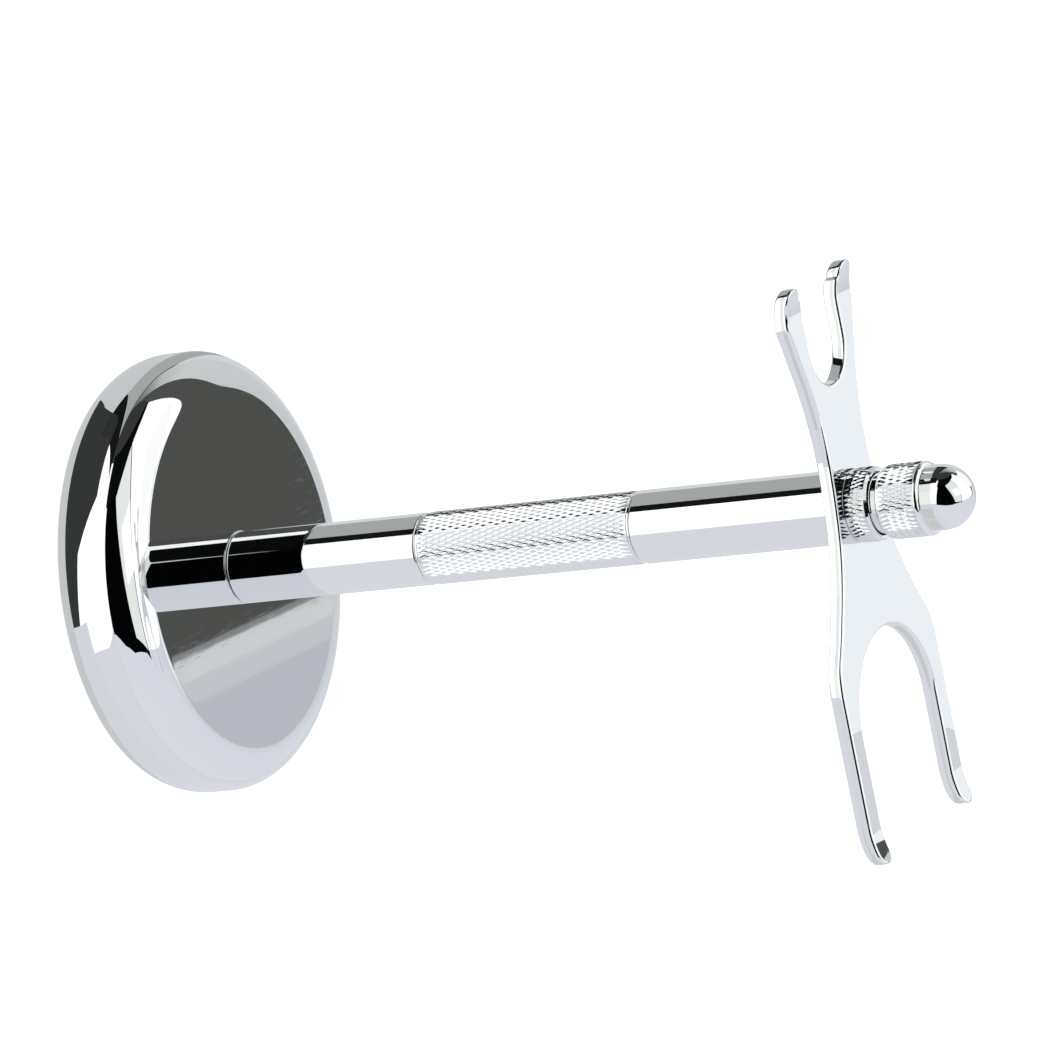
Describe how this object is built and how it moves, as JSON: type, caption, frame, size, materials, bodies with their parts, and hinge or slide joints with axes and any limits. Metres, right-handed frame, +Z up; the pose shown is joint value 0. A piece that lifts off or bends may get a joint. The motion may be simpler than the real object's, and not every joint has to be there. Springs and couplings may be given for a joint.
{
  "type": "razor stand",
  "caption": "Free-standing shaving stand: weighted round base, straight post with knurled grip, and a flat plate forked at both ends for a razor and a brush, clamped by a knurled finial.",
  "frame": {"origin": "middle of the underside of the base pad, on the post's axis", "axes": "+Z up along the post; +X along the plate towards the wide brush fork, -X towards the narrow razor fork"},
  "size_m": [0.0926, 0.0736, 0.1491],
  "materials": {
    "base_chrome": "mirror polished chrome plate",
    "post_chrome": "mirror polished chrome plate",
    "knurled_chrome": "fine diamond knurl, chrome plated",
    "plate_chrome": "flat polished chrome plate",
    "finial_chrome": "knurled band under a polished domed nose",
    "steel": "plain zinc-plated steel",
    "ballast_iron": "raw casting",
    "pad_rubber": "matt black foam rubber",
    "washer_nylon": "natural nylon"
  },
  "bodies": {
    "stand": {"base_shell": "base_chrome", "base_weight": "ballast_iron", "base_pad": "pad_rubber", "base_screw": "steel", "base_spring_washer": "steel", "base_flat_washer": "steel", "post_foot_plug": "steel", "post_lower_tube": "post_chrome", "grip_lower_coupler": "steel", "grip_sleeve": "knurled_chrome", "grip_upper_coupler": "steel", "post_upper_tube": "post_chrome", "post_head_plug": "steel", "fork_washer": "washer_nylon", "fork_stud": "steel"},
    "fork": {"fork_plate": "plate_chrome"},
    "collar": {"clamp_collar": "knurled_chrome", "collar_clip": "steel"},
    "finial": {"finial_nut": "finial_chrome"}
  },
  "joints": [
    {"name": "fork_swivel", "type": "hinge", "parent": "stand", "child": "fork", "pos_m": [0, 0, 0.12775], "axis": [0, 0, 1], "continuous": true},
    {"name": "collar_lift", "type": "slide", "parent": "stand", "child": "collar", "axis": [0, 0, 1], "range_m": [0, 0.006]},
    {"name": "finial_turn", "type": "hinge", "parent": "collar", "child": "finial", "pos_m": [0, 0, 0.1377], "axis": [0, 0, 1], "range_deg": [0, 2702]}
  ],
  "couplings": [
    {"joint": "finial_turn", "follows": "collar_lift", "rad_per_m": 7854}
  ]
}
